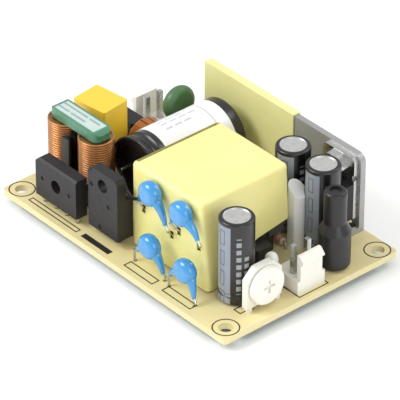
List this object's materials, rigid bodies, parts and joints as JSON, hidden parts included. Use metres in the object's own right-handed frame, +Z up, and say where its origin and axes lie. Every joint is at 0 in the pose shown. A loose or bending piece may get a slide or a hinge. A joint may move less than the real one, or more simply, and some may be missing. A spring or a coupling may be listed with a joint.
{
  "type": "open frame power supply",
  "caption": "Open frame switching power supply: a bare board with upright chokes, capacitors, taped transformer, heatsink plate, input and output headers and corner mounting holes.",
  "frame": {"origin": "centre of the four mounting holes, on the underside of the board", "axes": "+X along the board from the mains input end to the output end, +Y to the edge with the heatsink, +Z up through the parts"},
  "size_m": [0.0762, 0.0508, 0.0256],
  "materials": {
    "board": "glass epoxy laminate with a pale solder mask",
    "black_plastic": "moulded epoxy or glass filled nylon",
    "tinned_lead": "tinned wire with solder fillets",
    "green_ferrite": "painted ferrite",
    "dark_ferrite": "bare ferrite",
    "copper_wire": "enamelled copper wire",
    "yellow_film": "moulded box",
    "white_nylon": "moulded nylon",
    "green_coat": "coated ceramic disc",
    "blue_coat": "glossy dipped epoxy over a ceramic disc",
    "sleeve": "printed sleeve over an aluminium can",
    "winding_tape": "thin polyester tape",
    "plate": "dull, as rolled",
    "clear_lens": "frosted lens",
    "silicone": "matt white bead",
    "tan_coat": "coated resistor body"
  },
  "bodies": {
    "module": {"circuit_board": "board", "bridge_rectifier": "black_plastic", "bridge_leads": "tinned_lead", "switch_transistor": "black_plastic", "switch_leads": "tinned_lead", "choke_core": "green_ferrite", "choke_bobbin": "black_plastic", "choke_coil_left": "copper_wire", "choke_coil_right": "copper_wire", "choke_pins": "tinned_lead", "film_capacitor": "yellow_film", "film_capacitor_leads": "tinned_lead", "input_connector": "white_nylon", "input_connector_pins": "tinned_lead", "toroid_core": "dark_ferrite", "toroid_winding": "copper_wire", "toroid_leads": "copper_wire", "thermistor": "green_coat", "thermistor_leads": "tinned_lead", "fuse": "black_plastic", "fuse_leads": "tinned_lead", "bulk_capacitor": "sleeve", "bulk_capacitor_leads": "tinned_lead", "transformer_core": "dark_ferrite", "transformer_bobbin": "black_plastic", "transformer_winding": "winding_tape", "transformer_tape": "winding_tape", "transformer_pins": "tinned_lead", "y_capacitor_1": "blue_coat", "y_capacitor_2": "blue_coat", "y_capacitor_3": "blue_coat", "y_capacitor_4": "blue_coat", "y_capacitor_leads": "tinned_lead", "output_capacitor_1": "sleeve", "output_capacitor_2": "sleeve", "output_capacitor_3": "sleeve", "output_capacitor_leads": "tinned_lead", "heatsink": "plate", "heatsink_pins": "tinned_lead", "heatsink_tape": "winding_tape", "rectifier_body": "black_plastic", "rectifier_tab": "tinned_lead", "rectifier_leads": "tinned_lead", "rectifier_screw": "tinned_lead", "rectifier_nut": "tinned_lead", "output_choke": "sleeve", "output_choke_leads": "tinned_lead", "output_connector": "white_nylon", "output_connector_pins": "tinned_lead", "indicator_lamp": "clear_lens", "indicator_lamp_leads": "tinned_lead", "trimmer_housing": "white_nylon", "trimmer_terminals": "tinned_lead", "shunt_regulator": "black_plastic", "resistor": "tan_coat", "optocoupler": "white_nylon", "controller_chip": "black_plastic", "chip_parts": "dark_ferrite", "adhesive": "silicone"},
    "trimmer_rotor": {"trimmer_rotor": "white_nylon"}
  },
  "joints": [
    {"name": "trimmer_turn", "type": "hinge", "parent": "module", "child": "trimmer_rotor", "pos_m": [0.0343, -0.01065, 0.0074], "axis": [1, 0, 0], "range_deg": [-120, 120]}
  ]
}
